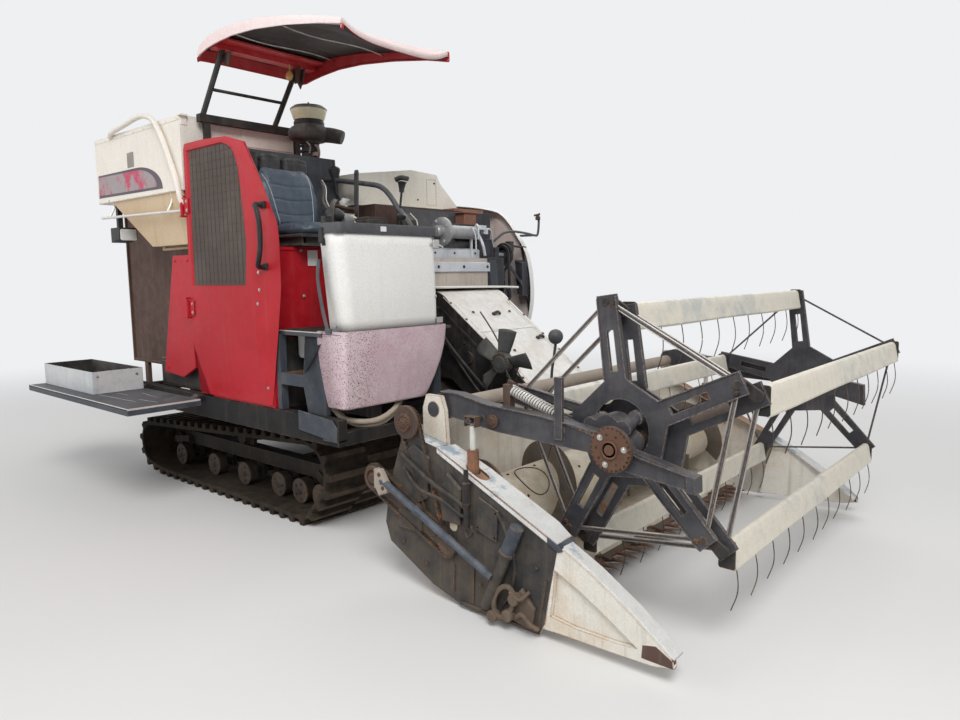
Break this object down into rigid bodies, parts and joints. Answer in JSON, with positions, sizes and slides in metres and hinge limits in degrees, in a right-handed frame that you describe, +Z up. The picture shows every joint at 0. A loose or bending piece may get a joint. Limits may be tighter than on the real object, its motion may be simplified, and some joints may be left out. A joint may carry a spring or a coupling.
{
  "type": "combine harvester",
  "caption": "Tracked combine harvester with a cutting table, eccentric tine reel and feed auger, open operator's seat under a canopy, grain tank and fold-down side platform.",
  "frame": {"origin": "middle of the bounding box's base, on the ground", "axes": "+X forward towards the cutting table, +Y to the machine's left, +Z up"},
  "size_m": [5.0305, 2.5955, 2.53],
  "materials": {
    "track_rubber": "worn, dusty",
    "frame_paint": "matt",
    "rusty_iron": "rusty",
    "black_iron": "oily",
    "red_paint": "faded gloss",
    "white_plastic": "clouded",
    "cream_paint": "faded, rust at the edges",
    "black_plastic": "dusty",
    "seat_cover": "faded",
    "black_paint": "matt",
    "canopy_paint": "chalky, faded",
    "grey_paint": "worn",
    "rusty_panel": "rusted through the paint",
    "bare_steel": "dull",
    "deck_paint": "scratched",
    "worn_steel": "worn, rusty",
    "bat_paint": "worn"
  },
  "bodies": {
    "machine": {"track_left": "track_rubber", "track_right": "track_rubber", "track_frames": "frame_paint", "track_wheels": "rusty_iron", "chassis": "frame_paint", "transmission": "frame_paint", "engine": "black_iron", "radiator": "black_iron", "engine_cover": "red_paint", "lower_panels": "red_paint", "operator_floor": "frame_paint", "reserve_tank": "white_plastic", "control_column": "cream_paint", "controls": "black_plastic", "seat": "seat_cover", "air_intake": "black_plastic", "canopy_frame": "black_paint", "canopy": "canopy_paint", "grain_hopper": "cream_paint", "work_lamp": "black_plastic", "grain_elevator": "grey_paint", "thresher": "rusty_panel", "front_pipe": "bare_steel", "left_cover": "cream_paint", "mirror_stay": "black_paint", "feeder_mount": "grey_paint"},
    "header": {"feeder_house": "cream_paint", "table_frame": "cream_paint", "dividers": "cream_paint", "knife": "worn_steel", "table_drives": "rusty_iron"},
    "lift_barrel": {"lift_barrel": "black_paint"},
    "lift_rod": {"lift_rod": "bare_steel"},
    "reel_arms": {"reel_arms": "grey_paint"},
    "reel_rods": {"reel_rods": "bare_steel"},
    "reel": {"reel_star": "grey_paint", "reel_shaft": "rusty_iron"},
    "eccentric": {"eccentric_star": "grey_paint"},
    "bat_1": {"reel_bat_1": "bat_paint"},
    "bat_2": {"reel_bat_2": "bat_paint"},
    "bat_3": {"reel_bat_3": "bat_paint"},
    "bat_4": {"reel_bat_4": "bat_paint"},
    "bat_5": {"reel_bat_5": "bat_paint"},
    "auger": {"auger": "cream_paint"},
    "fan": {"cooling_fan": "black_plastic"},
    "door": {"engine_door": "red_paint", "door_screen": "black_paint", "door_handle": "black_plastic"},
    "lid": {"thresher_cover": "cream_paint"},
    "deck": {"deck": "deck_paint", "deck_tray": "cream_paint"}
  },
  "joints": [
    {"name": "header_lift", "type": "hinge", "parent": "machine", "child": "header", "pos_m": [0.3548, 0.3752, 1], "axis": [0, -1, 0], "range_deg": [0, 28]},
    {"name": "lift_barrel_swing", "type": "hinge", "parent": "machine", "child": "lift_barrel", "pos_m": [0.4848, 0.2302, 0.455], "axis": [0, -1, 0], "range_deg": [0, 36]},
    {"name": "lift_rod_slide", "type": "slide", "parent": "lift_barrel", "child": "lift_rod", "axis": [0.9382, 0, -0.3462], "range_m": [0, 0.2622]},
    {"name": "reel_lift", "type": "hinge", "parent": "header", "child": "reel_arms", "pos_m": [1.2948, 0.1102, 0.735], "axis": [0, -1, 0], "range_deg": [0, 24]},
    {"name": "reel_rod_slide", "type": "slide", "parent": "header", "child": "reel_rods", "axis": [0, 0, 1], "range_m": [0, 0.0912]},
    {"name": "reel_spin", "type": "hinge", "parent": "reel_arms", "child": "reel", "pos_m": [2.0838, 0.1102, 0.6905], "axis": [0, 1, 0], "continuous": true},
    {"name": "eccentric_spin", "type": "hinge", "parent": "reel_arms", "child": "eccentric", "pos_m": [2.0348, -0.6838, 0.7235], "axis": [0, 1, 0], "continuous": true},
    {"name": "bat_1_swing", "type": "hinge", "parent": "reel", "child": "bat_1", "pos_m": [2.02485, 0.1102, 1.12653], "axis": [0, 1, 0], "continuous": true},
    {"name": "bat_2_swing", "type": "hinge", "parent": "reel", "child": "bat_2", "pos_m": [2.48027, 0.1102, 0.88131], "axis": [0, 1, 0], "continuous": true},
    {"name": "bat_3_swing", "type": "hinge", "parent": "reel", "child": "bat_3", "pos_m": [2.38779, 0.1102, 0.37239], "axis": [0, 1, 0], "continuous": true},
    {"name": "bat_4_swing", "type": "hinge", "parent": "reel", "child": "bat_4", "pos_m": [1.8752, 0.1102, 0.30309], "axis": [0, 1, 0], "continuous": true},
    {"name": "bat_5_swing", "type": "hinge", "parent": "reel", "child": "bat_5", "pos_m": [1.65089, 0.1102, 0.76917], "axis": [0, 1, 0], "continuous": true},
    {"name": "auger_spin", "type": "hinge", "parent": "header", "child": "auger", "pos_m": [1.4498, 0.1102, 0.315], "axis": [0, 1, 0], "continuous": true},
    {"name": "fan_spin", "type": "hinge", "parent": "header", "child": "fan", "pos_m": [0.9648, -0.0098, 0.812], "axis": [0, 1, 0], "continuous": true},
    {"name": "door_swing", "type": "hinge", "parent": "machine", "child": "door", "pos_m": [-0.5002, -0.9018, 1.3], "axis": [0, 0, -1], "range_deg": [0, 85]},
    {"name": "lid_swing", "type": "hinge", "parent": "machine", "child": "lid", "pos_m": [-1.0052, 0.7352, 1.662], "axis": [-1, 0, 0], "range_deg": [0, 60]},
    {"name": "deck_fold", "type": "hinge", "parent": "machine", "child": "deck", "pos_m": [-1.1052, -0.8958, 0.615], "axis": [1, 0, 0], "range_deg": [-90, 0]}
  ],
  "couplings": [
    {"joint": "lift_barrel_swing", "follows": "header_lift", "ratio": 1.2642},
    {"joint": "lift_rod_slide", "follows": "header_lift", "m_per_rad": 0.53442},
    {"joint": "reel_rod_slide", "follows": "reel_lift", "m_per_rad": 0.21533},
    {"joint": "eccentric_spin", "follows": "reel_spin", "ratio": 1},
    {"joint": "bat_1_swing", "follows": "reel_spin", "ratio": -1},
    {"joint": "bat_2_swing", "follows": "reel_spin", "ratio": -1},
    {"joint": "bat_3_swing", "follows": "reel_spin", "ratio": -1},
    {"joint": "bat_4_swing", "follows": "reel_spin", "ratio": -1},
    {"joint": "bat_5_swing", "follows": "reel_spin", "ratio": -1}
  ]
}
